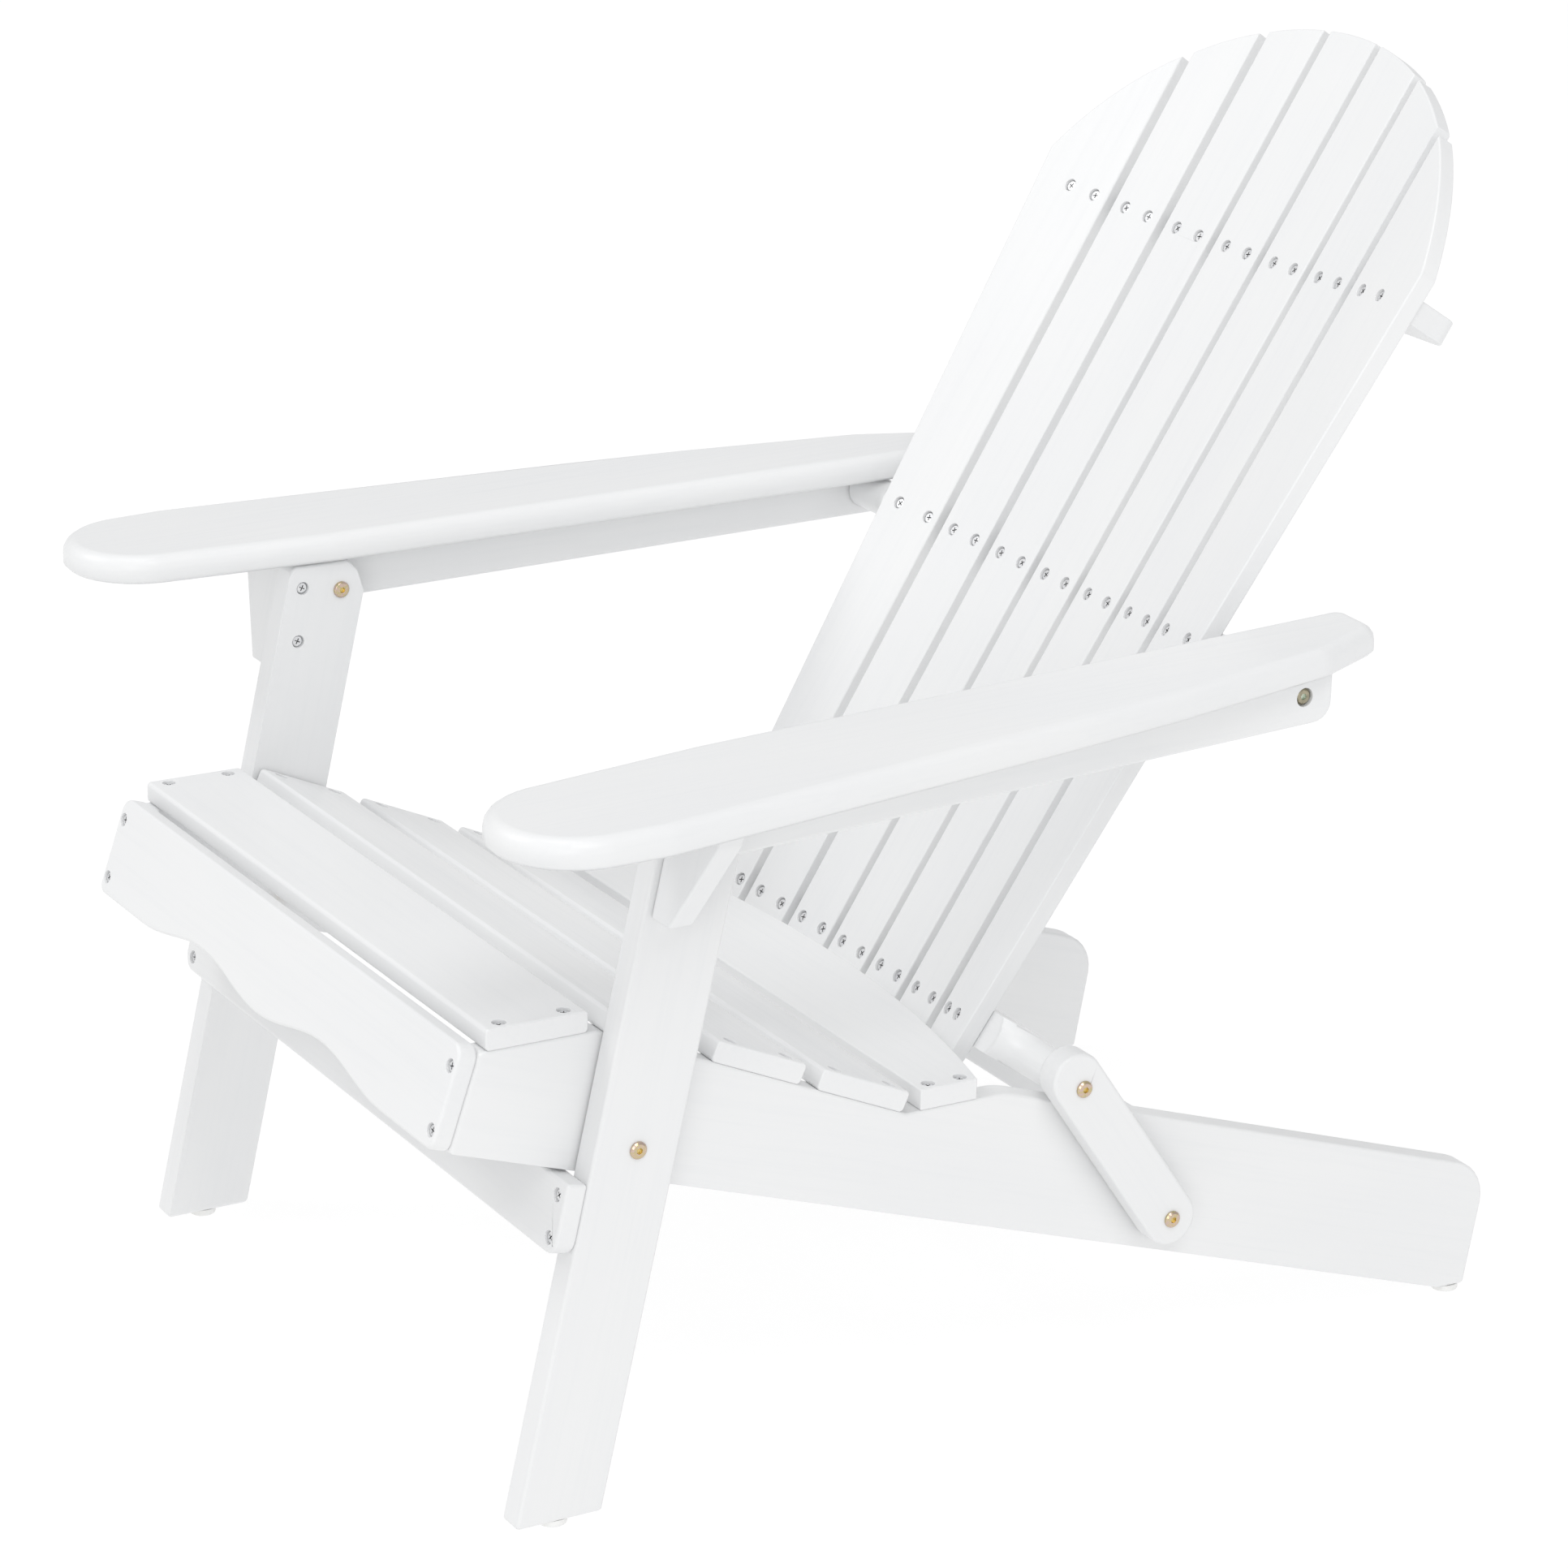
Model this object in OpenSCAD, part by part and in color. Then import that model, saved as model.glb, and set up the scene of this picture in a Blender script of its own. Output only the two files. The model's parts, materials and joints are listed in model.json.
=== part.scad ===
// A folding adirondack chair. Millimetres, +Z up, floor at Z 0.
// The front of the chair faces -Y, and +X is the sitter's left.
// Side views are drawn in Y and Z. The back has its own frame: X across, Y up the slats, Z to the front.

/* [Seat frame] */
// Half of the width over the two stringers
frame_half = 266.5; // [240:1:300]
// Thickness of a stringer
stringer_t = 20; // [14:1:26]
// Slope of the stringers, degrees below level towards the rear
stringer_slope = 18.2; // [14:0.1:22]
// Thickness of the seat slats
seat_slat_t = 15; // [10:1:20]
// Width of a straight seat slat
seat_slat_w = 73; // [60:1:90]
// Slope of the dished part of the seat
seat_slope = 23.6; // [18:0.1:28]
// Thickness of the apron
apron_t = 14; // [10:1:20]
// Height of the apron
apron_h = 71; // [60:1:90]
// Depth of the two scoops in the apron's lower edge
scoop_depth = 12.7; // [0:0.1:20]

/* [Legs and arms] */
// Outer face of the legs
leg_outer = 290; // [260:1:320]
// Thickness of a leg board
leg_t = 21.5; // [16:0.5:26]
// Backward lean of the legs, in Y per unit of Z
leg_lean = 0.2149; // [0:0.001:0.3]
// Width of a leg board, measured level
leg_w = 62.8; // [50:0.1:80]
// Thickness of the arm boards
arm_t = 20; // [16:1:26]
// Rise of the arms towards the rear, degrees
arm_rise = 1.4; // [0:0.1:4]
// Thickness of the arm rails
rail_t = 20; // [14:1:26]
// How far the arm rails close in towards the rear, in X per unit of Y
rail_toe = 0.04; // [0:0.001:0.06]

/* [Back] */
// Lean of the back from upright, degrees
back_lean = 32.56; // [20:0.01:40]
// Thickness of the back slats
back_slat_t = 13; // [9:1:18]
// How far the middle of the back lies behind its sides, at 200 mm from the middle
back_dish = 21; // [0:1:30]
// Gap between two back slats
back_gap = 7.5; // [4:0.5:12]
// Radius of the arc over the tops of the slats
top_arc_r = 250; // [200:1:320]
// Radius of the round ends of the bars
bar_r = 13.8; // [11:0.1:13.9]

/* [Hardware] */
// Radius of a screw head
screw_head_r = 4; // [3:0.1:5]
// Radius of a screw shank
screw_r = 1.9; // [1.5:0.1:2.5]
// Radius of a pivot bolt's shank
bolt_r = 3.5; // [2.5:0.1:5]
// Radius of a pivot bolt's head
bolt_head_r = 6; // [5:0.1:8]
// Radius of a floor glide
glide_r = 10; // [7:0.5:14]
// Height of a floor glide
glide_h = 5; // [3:0.5:8]

/* [Hidden] */
$fn = 48;
eps = 0.05;
fit = 0.05;

slope_sin = sin(stringer_slope);
slope_cos = cos(stringer_slope);
seat_sin = sin(seat_slope);
seat_cos = cos(seat_slope);
stringer_inner = frame_half - stringer_t;
stringer_mid = frame_half - stringer_t / 2;
leg_inner = leg_outer - leg_t;
leg_mid = leg_outer - leg_t / 2;
link_t = 20;
link_inner = leg_inner;
spacer_t = 4;

// Pivots, as [Y, Z]
leg_pivot = [-293.9, 256.2];
arm_pivot = [-236.2, 470.3];
back_pivot = [208.5, 489.2];
link_top = [49.2, 232.5];
link_foot = [126.8, 121.2];

// X of an arm rail's inner face at a given Y: a spacer holds its front off the leg
function rail_inner(y) = leg_outer + spacer_t + 0.6 - rail_toe * (y - arm_pivot[0]);
function rail_outer(y) = rail_inner(y) + rail_t;

// Side view of the seat: top edge of a stringer from front to rear
seat_front_z = 333;
seat_front_y = -312;
seat_rear_z = 230.6;
stringer_front_foot = [-416.6, 268.2];
stringer_heel_y = 404;
// Where the slope meets the level part at the rear
seat_rear_y = seat_front_y + (seat_front_z - seat_rear_z) * seat_cos / seat_sin;
// Behind the seat the upper edge bends down, runs parallel to the lower edge and rounds off
tail_round = [383.3, 71.4];
tail_round_r = 32;
tail_round_end = -8;
tail_bend_y = -8;
tail_bend_r = 60;

// Legs: front edge and side lines as a function of Z
leg_foot_y = -379.8;
leg_top_z = 491.3;
// Shoulders of the rear edge at the top, as [Z, how far in from the edge line at the first of them]
leg_shoulders = [[467, 0], [485, 5.5], [491.3, 12]];
leg_nose = 4;
function leg_front(z) = leg_foot_y + leg_lean * (z - glide_h);
leg_tilt = atan(leg_lean);

// Seat slats: where the first starts, the lead of the second and the gaps between those on the slope
first_slat_front = -391;
slat_lead = 4.5;
slat_gap = 14.5;
slat_screw_half = 23;
seat_screw_x = frame_half - 8.5;
rear_slat_front = -66.5;
rear_slat_mid_y = 12.5;
rear_slat_r = 1043;
rear_slat_screw_y = [-56, -31];
apron_screw_x = frame_half - 7.5;
apron_screw_heights = [12.2, 55.5];
scoop_reach = 190;
stretcher_foot = [100, 162.6];
stretcher_h = 30;
stretcher_t = 20;
stretcher_screw = [6.5, 8];

crossbar_t = 15;
crossbar_h = 50;
crossbar_top_z = 238.6;
crossbar_screw_half = 14.5;
bracket_front = 5;
bracket_t = 18;
bracket_bottom_z = 413;
bracket_reach = 61;
bracket_toe = 23;
bracket_lip = 15;
// Screws that hold a bracket, as [how far behind the leg's front edge, Z]
bracket_screw_points = [[12.5, 474.8], [17, 435.3]];

// Arms: local frame at the front of the top surface
arm_origin = [-400, 510];
function arm_under(y) = arm_origin[1] + (y - arm_origin[0]) * tan(arm_rise) - arm_t / cos(arm_rise);
rail_nose_r = 15;
rail_rear_y = 232;
rail_rear_bottom_z = 469.5;
rail_corner_r = 14;
arm_screw_y = [-180, -20, 130];
arm_screw_into = 10;
arm_pivot_bore = 12;
arm_top_r = 10;
arm_under_r = 3;

// Back frame: origin on the lower row of screws, half way across
back_origin = [22.5, 249];
slat_foot = -27;
slat_top = 746;
slats_each_side = 3;
row_low = 0;
row_mid = 302;
row_top = 571;
pitch_low = 53.7;
pitch_rise = 0.0103;
function pitch(u) = pitch_low + pitch_rise * u;
// X of a slat's middle, half way up, where its plane touches the dished surface
function slat_x(k) = k * pitch(row_mid) * (abs(k) == slats_each_side ? 1.01 : 1);
function dish(x) = back_dish * (1 - pow(x / 200, 2));
function slat_tilt(k) = atan(2 * back_dish * slat_x(k) / pow(200, 2));
front_face = 2;
function slat_front(k) = front_face - dish(slat_x(k));
// Front of a bar behind slat k at a given X, in the back frame
function seat_depth(k, x) = slat_front(k) - back_slat_t * cos(slat_tilt(k))
    + (x - slat_x(k) - back_slat_t * sin(slat_tilt(k))) * tan(slat_tilt(k));
outer_foot_x = 180;
slat_screw_half_x = 13;
// Screws of an outer slat in a row, as [X of their middle, half of their spacing]
function outer_screws(row) = row == row_low ? [152.9, 8] : row == row_mid ? [172.6, 16.7] : [179.6, 13.3];
outer_shoulder = [231, 600];

// The origin lies half way between the apron's front and the back's rear top edge
front_y = stringer_front_foot[0] - apron_t * slope_cos;
rear_y = back_origin[0] + slat_top * sin(back_lean) + (back_slat_t - slat_front(0)) * cos(back_lean);
depth_centre = (front_y + rear_y) / 2;

bar_h = 28;
bar_rear = -45.5;
batten_rear = -48.5;
batten_h = 18;
batten_mid = 570;
batten_half = 225;
bar_taper = 30;
body_r = 24;
lower_bar_half = 200;
middle_bar_half = 214;
lower_bar_end = link_inner - 0.2;
middle_bar_end = rail_inner(back_pivot[0] + bar_r) - 0.2;

counterbore_r = 4.7;
counterbore_depth = 4;
screw_head_h = 2.2;
screw_bevel = 0.6;
screw_tip_h = 3;
screw_tip_r = 0.4;
slot_half = 2.2;
slot_w = 0.8;
slot_depth = 1.2;
pilot_r = screw_r + fit;
bore_r = bolt_r + fit;
bolt_head_h = 2.5;
bolt_bevel = 1.4;
socket_r = 2.3;
socket_depth = 1.5;
bolt_grip = 32;
recess_r = 6.6;
recess_depth = 4;
seat_screw_len = 30;
back_screw_len = 20;
washer_r = 8;
glide_bevel = 1.2;
washer_t = 1.8;
nut_r = 6.6;
nut_h = 5;
link_half_w = 19.3;
link_extra = 8;

white = [0.95, 0.95, 0.94];
zinc = [0.78, 0.79, 0.80];
yellow_zinc = [0.80, 0.68, 0.35];
plastic = [0.96, 0.96, 0.96];

// ---- frames and small helpers ----

module placed() {
    translate([0, -depth_centre, 0]) children();
}

// Runs its children on the left as drawn, or mirrored to the right
module on_side(side) {
    if (side > 0) children();
    else mirror([1, 0, 0]) children();
}

module both_sides() {
    children();
    mirror([1, 0, 0]) children();
}

// Extrudes a side view, drawn in Y and Z, from x0 towards +X
module side_plate(x0, thickness) {
    translate([x0, 0, 0]) rotate([90, 0, 90]) linear_extrude(height = thickness) children();
}

// A round bar or hole along +X that starts at x0, at a side-view point
module cross_hole(x0, point, r, length) {
    translate([x0, point[0], point[1]]) rotate([0, 90, 0]) cylinder(r = r, h = length);
}

// Places a screw or its hole with its head up the local +Z and its tip down
module wood_screw(length) {
    difference() {
        union() {
            translate([0, 0, -counterbore_depth])
                cylinder(r = screw_head_r, h = screw_head_h - screw_bevel);
            translate([0, 0, -counterbore_depth + screw_head_h - screw_bevel])
                cylinder(r1 = screw_head_r, r2 = screw_head_r - screw_bevel, h = screw_bevel);
            translate([0, 0, -counterbore_depth - length + screw_tip_h])
                cylinder(r = screw_r, h = length - screw_tip_h + eps);
            translate([0, 0, -counterbore_depth - length])
                cylinder(r1 = screw_tip_r, r2 = screw_r, h = screw_tip_h + eps);
        }
        for (turn = [0, 90])
            rotate([0, 0, turn])
                translate([-slot_half, -slot_w / 2, -counterbore_depth + screw_head_h - slot_depth])
                    cube([2 * slot_half, slot_w, 2 * slot_depth]);
    }
}

module screw_hole(length) {
    translate([0, 0, -counterbore_depth]) cylinder(r = counterbore_r, h = counterbore_depth + 1);
    translate([0, 0, -counterbore_depth - length - 0.5]) cylinder(r = pilot_r, h = length + 1);
}

// A pivot bolt along X: its head's under side is at x0 and its shank runs towards -X
module pivot_bolt(x0, point, length) {
    translate([x0, point[0], point[1]]) rotate([0, 90, 0]) difference() {
        union() {
            cylinder(r = bolt_head_r, h = bolt_head_h / 2);
            translate([0, 0, bolt_head_h / 2])
                cylinder(r1 = bolt_head_r, r2 = bolt_head_r - bolt_bevel, h = bolt_head_h / 2);
            translate([0, 0, -length]) cylinder(r = bolt_r, h = length + eps);
        }
        translate([0, 0, bolt_head_h - socket_depth]) cylinder(r = socket_r, h = 2 * socket_depth, $fn = 6);
    }
}

// Points of a quarter round from angle a to angle b
function arc(centre, r, a, b, steps = 6) =
    [for (i = [0:steps]) centre + r * [cos(a + (b - a) * i / steps), sin(a + (b - a) * i / steps)]];

// Outline of a slat's section with rounded corners, from the middle of its lower face
function slat_section(w, t, r) = concat(
    arc([w / 2 - r, r], r, -90, 0, 4), arc([w / 2 - r, t - r], r, 0, 90, 4),
    arc([-w / 2 + r, t - r], r, 90, 180, 4), arc([-w / 2 + r, r], r, 180, 270, 4));

// ---- seat frame ----

module stringer_profile() {
    front_top_y = stringer_front_foot[0] + (seat_front_z - stringer_front_foot[1]) * slope_sin / slope_cos;
    foot_y = stringer_front_foot[0] + (stringer_front_foot[1] - glide_h) * slope_cos / slope_sin;
    polygon(concat(
        [stringer_front_foot, [front_top_y, seat_front_z], [seat_front_y, seat_front_z],
         [seat_rear_y, seat_rear_z]],
        arc([tail_bend_y, seat_rear_z - tail_bend_r], tail_bend_r, 90, 90 - stringer_slope, 5),
        arc(tail_round, tail_round_r, 90 - stringer_slope, tail_round_end, 7),
        [[stringer_heel_y, glide_h], [foot_y, glide_h]]));
}

module stringer(side) {
    color(white) placed() on_side(side) difference() {
        side_plate(stringer_inner, stringer_t) stringer_profile();
        cross_hole(stringer_inner - 1, leg_pivot, bore_r, stringer_t + 2);
        cross_hole(stringer_inner - 1, link_foot, bore_r, stringer_t + 2);
        seat_slat_holes();
        apron_holes();
        stretcher_holes();
    }
}
module stringer_left() { stringer(1); }
module stringer_right() { stringer(-1); }

// Frame of a straight seat slat: X across, Y to the rear, Z up from the stringer's edge
module seat_slat_frame(n) {
    if (n == 1)
        translate([0, first_slat_front + seat_slat_w / 2, seat_front_z]) children();
    else
        translate([0, seat_front_y, seat_front_z]) rotate([-seat_slope, 0, 0])
            translate([0, slat_lead + seat_slat_w / 2 + (n - 2) * (seat_slat_w + slat_gap), 0]) children();
}

// The rear slat has a straight front edge and an arced rear edge
module rear_seat_slat() {
    intersection() {
        translate([-frame_half, rear_slat_front, seat_rear_z])
            cube([2 * frame_half, 90, seat_slat_t]);
        translate([0, rear_slat_mid_y - rear_slat_r, seat_rear_z - 1])
            cylinder(r = rear_slat_r, h = seat_slat_t + 2, $fn = 256);
    }
}

module at_seat_screws(n) {
    if (n < 5)
        for (dy = [-slat_screw_half, slat_screw_half])
            seat_slat_frame(n) translate([seat_screw_x, dy, seat_slat_t]) children();
    else
        for (y = rear_slat_screw_y)
            translate([seat_screw_x, y, seat_rear_z + seat_slat_t]) children();
}

module seat_slat_holes() {
    for (n = [1:5]) at_seat_screws(n) screw_hole(seat_screw_len);
}

module seat_slat(n) {
    color(white) placed() difference() {
        if (n < 5)
            seat_slat_frame(n) side_plate(-frame_half, 2 * frame_half)
                polygon(slat_section(seat_slat_w, seat_slat_t, 3));
        else
            rear_seat_slat();
        both_sides() at_seat_screws(n) screw_hole(seat_screw_len);
    }
}
module seat_slat_1() { seat_slat(1); }
module seat_slat_2() { seat_slat(2); }
module seat_slat_3() { seat_slat(3); }
module seat_slat_4() { seat_slat(4); }
module seat_slat_5() { seat_slat(5); }

module seat_slat_screws() {
    color(zinc) placed() both_sides() for (n = [1:5]) at_seat_screws(n) wood_screw(seat_screw_len);
}

// Frame of the apron: X across, Y up its back face, Z out to the front
module apron_frame() {
    translate([0, stringer_front_foot[0], stringer_front_foot[1]])
        rotate([90 - stringer_slope, 0, 0]) children();
}

function scoop(x) = scoop_depth * pow(sin(180 * abs(x) / scoop_reach), 2);

module apron_outline() {
    corner = 10;
    foot_corner = 7;
    polygon(concat(
        arc([frame_half - corner, apron_h - corner], corner, 0, 90),
        arc([-frame_half + corner, apron_h - corner], corner, 90, 180),
        arc([-frame_half + foot_corner, foot_corner], foot_corner, 180, 270, 4),
        [for (x = [-scoop_reach:10:scoop_reach]) [x, scoop(x)]],
        arc([frame_half - foot_corner, foot_corner], foot_corner, 270, 360, 4)));
}

module at_apron_screws() {
    for (h = apron_screw_heights)
        apron_frame() translate([apron_screw_x, h, apron_t]) children();
}

module apron_holes() {
    at_apron_screws() screw_hole(seat_screw_len);
}

module apron() {
    color(white) placed() difference() {
        apron_frame() linear_extrude(height = apron_t) apron_outline();
        both_sides() apron_holes();
    }
}

module apron_screws() {
    color(zinc) placed() both_sides() at_apron_screws() wood_screw(seat_screw_len);
}

// Stretcher between the stringers, under the back
module stretcher_frame() {
    translate([0, stretcher_foot[0], stretcher_foot[1]])
        rotate([-stringer_slope, 0, 0]) children();
}

module at_stretcher_screws() {
    stretcher_frame() translate([frame_half, stretcher_screw[0], stretcher_screw[1]])
        rotate([0, 90, 0]) children();
}

module stretcher_holes() {
    at_stretcher_screws() screw_hole(seat_screw_len);
}

module rear_stretcher() {
    color(white) placed() difference() {
        stretcher_frame() translate([-stringer_inner, 0, 0])
            cube([2 * stringer_inner, stretcher_t, stretcher_h]);
        both_sides() stretcher_holes();
    }
}

module stretcher_screws() {
    color(zinc) placed() both_sides() at_stretcher_screws() wood_screw(seat_screw_len);
}

module glide(y, x) {
    translate([x, y, 0]) {
        cylinder(r1 = glide_r - glide_bevel, r2 = glide_r, h = glide_bevel);
        translate([0, 0, glide_bevel]) cylinder(r = glide_r, h = glide_h - glide_bevel);
    }
}

module rear_glides() {
    color(plastic) placed() both_sides() glide(stringer_heel_y - glide_r, stringer_mid);
}

module leg_pivot_bolts() {
    color(yellow_zinc) placed() both_sides()
        pivot_bolt(leg_outer + fit, leg_pivot, leg_outer - stringer_inner + nut_h);
}

module link_foot_bolts() {
    color(yellow_zinc) placed() both_sides()
        pivot_bolt(link_inner + link_t + fit, link_foot, link_inner + link_t - stringer_inner + nut_h);
}

module pivot_nut(point) {
    translate([stringer_inner - nut_h, point[0], point[1]]) rotate([0, 90, 0]) difference() {
        cylinder(r = nut_r, h = nut_h, $fn = 6);
        translate([0, 0, -1]) cylinder(r = bore_r, h = nut_h + 2);
    }
}

module leg_pivot_nuts() {
    color(yellow_zinc) placed() both_sides() pivot_nut(leg_pivot);
}

module link_foot_nuts() {
    color(yellow_zinc) placed() both_sides() pivot_nut(link_foot);
}

// A flat ring on a pivot's axis that starts at x0
module ring_washer(x0, point, thickness) {
    difference() {
        cross_hole(x0, point, washer_r, thickness);
        cross_hole(x0 - 1, point, bore_r, thickness + 2);
    }
}

module pivot_washers() {
    washer_x = (frame_half + leg_inner - washer_t) / 2;
    color(zinc) placed() both_sides() {
        ring_washer(washer_x, leg_pivot, washer_t);
        ring_washer(washer_x, link_foot, washer_t);
    }
}

// ---- leg frame ----

module leg_profile() {
    rear_y = leg_front(leg_shoulders[0][0]) + leg_w;
    polygon(concat(
        [[leg_front(glide_h), glide_h], [leg_front(glide_h) + leg_w, glide_h]],
        [for (shoulder = leg_shoulders) [rear_y - shoulder[1], shoulder[0]]],
        [[leg_front(leg_top_z) + leg_nose, leg_top_z], [leg_front(leg_top_z - leg_nose), leg_top_z - leg_nose]]));
}

// Frame of a board on the legs' front faces: X across, Y up the leg, Z out to the front
module leg_front_frame(z) {
    translate([0, leg_front(z), z]) rotate([90 - leg_tilt, 0, 0]) children();
}

module at_crossbar_screws() {
    for (h = [-crossbar_screw_half, crossbar_screw_half])
        leg_front_frame(crossbar_top_z) translate([leg_mid, h - crossbar_h / 2, crossbar_t]) children();
}

module at_bracket_screws() {
    for (screw = bracket_screw_points)
        translate([leg_inner, leg_front(screw[1]) + screw[0], screw[1]]) rotate([0, -90, 0]) children();
}

module leg(side) {
    color(white) placed() on_side(side) difference() {
        side_plate(leg_inner, leg_t) leg_profile();
        cross_hole(leg_inner - 1, leg_pivot, bore_r, leg_t + 2);
        cross_hole(leg_inner - 1, arm_pivot, bore_r, leg_t + 2);
        at_crossbar_screws() screw_hole(seat_screw_len);
        at_bracket_screws() screw_hole(seat_screw_len);
    }
}
module leg_left() { leg(1); }
module leg_right() { leg(-1); }

module leg_crossbar() {
    corner = 12;
    color(white) placed() difference() {
        leg_front_frame(crossbar_top_z) linear_extrude(height = crossbar_t)
            polygon(concat(
                [[leg_outer, 0], [-leg_outer, 0]],
                arc([-leg_outer + corner, corner - crossbar_h], corner, 180, 270),
                arc([leg_outer - corner, corner - crossbar_h], corner, 270, 360)));
        both_sides() at_crossbar_screws() screw_hole(seat_screw_len);
    }
}

module crossbar_screws() {
    color(zinc) placed() both_sides() at_crossbar_screws() wood_screw(seat_screw_len);
}

module bracket(side) {
    z0 = bracket_bottom_z;
    z1 = leg_top_z;
    toe_x = leg_outer + bracket_toe;
    end_x = leg_outer + bracket_reach;
    front0 = leg_front(z0) + bracket_front;
    front1 = leg_front(z1) + bracket_front;
    color(white) placed() on_side(side) difference() {
        intersection() {
            side_plate(leg_outer, bracket_reach)
                polygon([[front0, z0], [front0 + bracket_t, z0], [front1 + bracket_t, z1], [front1, z1]]);
            translate([0, front1 + bracket_t + 1, 0]) rotate([90, 0, 0])
                linear_extrude(height = front1 - front0 + bracket_t + 2)
                    polygon([[leg_outer, z0], [toe_x, z0], [end_x, z1 - bracket_lip], [end_x, z1],
                        [leg_outer, z1]]);
        }
        at_bracket_screws() screw_hole(seat_screw_len);
    }
}
module bracket_left() { bracket(1); }
module bracket_right() { bracket(-1); }

module bracket_screws() {
    color(zinc) placed() both_sides() at_bracket_screws() wood_screw(seat_screw_len);
}

module front_glides() {
    color(plastic) placed() both_sides()
        glide(leg_front(glide_h) + leg_w / 2, leg_mid);
}

// The arm pivot's bolts have their heads on the inner faces of the legs
module arm_pivot_bolts() {
    color(yellow_zinc) placed() both_sides()
        mirror([1, 0, 0]) pivot_bolt(-leg_inner + fit, arm_pivot, leg_t + spacer_t);
}

module arm_pivot_spacers() {
    color(zinc) placed() both_sides() ring_washer(leg_outer + fit, arm_pivot, spacer_t);
}

// ---- arms ----

// Frame of an arm board: Z 0 is its top surface
module arm_frame() {
    translate([0, arm_origin[0], arm_origin[1]]) rotate([arm_rise, 0, 0]) children();
}

// Circles whose hull is the outline of an arm board: [X, Y, radius]
arm_circles = [
    [331, 37, 57], [302.5, 159.5, 42.5], [343, 71.5, 46], [322.5, 380, 28.5], [309.5, 475, 27.5],
    [288.5, 610, 22.5], [289.5, 628, 13], [270, 660, 19], [248.5, 667.5, 12.5]];

module arm_outline(inset) {
    hull() for (c = arm_circles) translate([c[0], c[1]]) circle(r = c[2] - inset, $fn = 40);
}

module at_arm_screws() {
    for (y = arm_screw_y)
        arm_frame() translate([rail_inner(y) + rail_t / 2, y - arm_origin[0],
            arm_screw_into - arm_t - seat_screw_len - counterbore_depth]) rotate([180, 0, 0]) children();
}

module arm_board(side) {
    steps = 4;
    color(white) placed() on_side(side) difference() {
        arm_frame() hull() {
            for (i = [0:steps]) {
                a = 90 * i / steps;
                translate([0, 0, -arm_top_r + arm_top_r * sin(a) - eps]) linear_extrude(height = eps)
                    arm_outline(arm_top_r * (1 - cos(a)));
            }
            for (a = [0, 90])
                translate([0, 0, -arm_t + arm_under_r * (1 - sin(a))]) linear_extrude(height = eps)
                    arm_outline(arm_under_r * (1 - cos(a)));
        }
        at_arm_screws() screw_hole(seat_screw_len);
    }
}
module arm_left() { arm_board(1); }
module arm_right() { arm_board(-1); }

module rail_profile() {
    nose_y = arm_pivot[0] - rail_nose_r;
    polygon(concat(
        [[nose_y, arm_under(nose_y)]],
        arc(arm_pivot, rail_nose_r, 180, 268, 8),
        arc([rail_rear_y - rail_corner_r, rail_rear_bottom_z + rail_corner_r], rail_corner_r, 272, 360),
        [[rail_rear_y, arm_under(rail_rear_y)]]));
}

// Plan of an arm rail, extruded over its whole height
module rail_plan() {
    y0 = arm_pivot[0] - 2 * rail_nose_r;
    y1 = rail_rear_y + 1;
    bottom_z = arm_pivot[1] - 2 * rail_nose_r;
    translate([0, 0, bottom_z]) linear_extrude(height = arm_under(y1) + 1 - bottom_z)
        polygon([[rail_inner(y0), y0], [rail_outer(y0), y0], [rail_outer(y1), y1], [rail_inner(y1), y1]]);
}

module rail(side) {
    inner_x = rail_inner(back_pivot[0]);
    outer_x = rail_outer(back_pivot[0]);
    color(white) placed() on_side(side) difference() {
        intersection() {
            side_plate(inner_x - rail_t, 4 * rail_t) rail_profile();
            rail_plan();
        }
        cross_hole(inner_x - rail_t, back_pivot, bore_r, 3 * rail_t);
        cross_hole(outer_x - recess_depth, back_pivot, recess_r, 2 * recess_depth);
        cross_hole(leg_outer, arm_pivot, bore_r, spacer_t + arm_pivot_bore);
        at_arm_screws() {
            screw_hole(seat_screw_len);
            cylinder(r = counterbore_r, h = arm_t);
        }
    }
}
module arm_rail_left() { rail(1); }
module arm_rail_right() { rail(-1); }

module arm_screws() {
    color(zinc) placed() both_sides() at_arm_screws() wood_screw(seat_screw_len);
}

module back_pivot_bolts() {
    color(yellow_zinc) placed() both_sides()
        pivot_bolt(rail_outer(back_pivot[0]) - recess_depth + fit, back_pivot, rail_t - recess_depth + bolt_grip);
}

// ---- back ----

module back_frame() {
    translate([0, back_origin[0], back_origin[1]]) rotate([90 - back_lean, 0, 0]) children();
}

// Frame of slat k of -3 to 3: Z 0 is its front face
module slat_frame(k) {
    back_frame() translate([slat_x(k), 0, slat_front(k)]) rotate([0, -slat_tilt(k), 0])
        translate([-slat_x(k), 0, 0]) children();
}

function slat_edges(k, u) = [(k - 0.5) * pitch(u) + back_gap / 2, (k + 0.5) * pitch(u) - back_gap / 2];

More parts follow.
